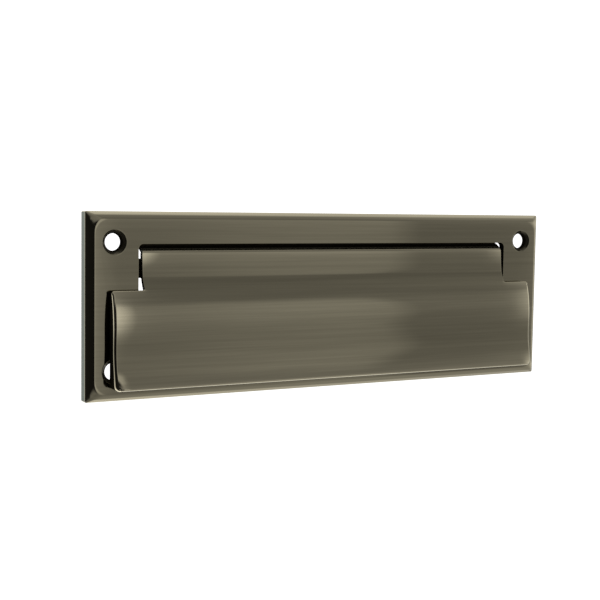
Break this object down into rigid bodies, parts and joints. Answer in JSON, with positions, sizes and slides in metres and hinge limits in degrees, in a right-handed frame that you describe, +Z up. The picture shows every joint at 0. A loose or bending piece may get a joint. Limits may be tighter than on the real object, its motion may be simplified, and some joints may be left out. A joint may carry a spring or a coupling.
{
  "type": "mail slot front plate",
  "caption": "Rectangular bevelled mail slot plate in brushed antique nickel, with countersunk screw holes and a spring-closed T-shaped flap that hinges outward over the slot.",
  "frame": {"origin": "on the plate's flat back rail, at the middle of its lower edge (2 mm above the plate's lower edge), in the plane that lies on the wall", "axes": "+X to the right along the plate, +Y into the wall (the front faces -Y), +Z up"},
  "size_m": [0.2286, 0.0201, 0.0762],
  "materials": {
    "antique_nickel": "antique nickel plate, brushed along the plate's length, satin",
    "zinc_plated_steel": "bright zinc plate",
    "spring_steel": "drawn spring wire and spring sheet",
    "nylon": "natural moulded nylon"
  },
  "bodies": {
    "plate": {"face_plate": "antique_nickel", "hinge_bracket_left": "zinc_plated_steel", "hinge_bracket_right": "zinc_plated_steel", "bracket_screw_left_inner": "zinc_plated_steel", "bracket_screw_left_outer": "zinc_plated_steel", "bracket_screw_right_inner": "zinc_plated_steel", "bracket_screw_right_outer": "zinc_plated_steel", "hinge_bush_left": "nylon", "hinge_bush_right": "nylon", "thrust_washer_left": "zinc_plated_steel", "thrust_washer_right": "zinc_plated_steel", "return_spring_left": "spring_steel", "return_spring_right": "spring_steel"},
    "flap": {"flap": "antique_nickel", "hinge_rod": "zinc_plated_steel", "rod_clip_left": "spring_steel", "rod_clip_right": "spring_steel"}
  },
  "joints": [
    {"name": "flap_hinge", "type": "hinge", "parent": "plate", "child": "flap", "pos_m": [0, 0.0005, 0.0512], "axis": [-1, 0, 0], "range_deg": [0, 85], "stiffness_Nm_per_rad": 0.05, "springref_deg": -34.38, "deforming": ["return_spring_left", "return_spring_right"]}
  ]
}
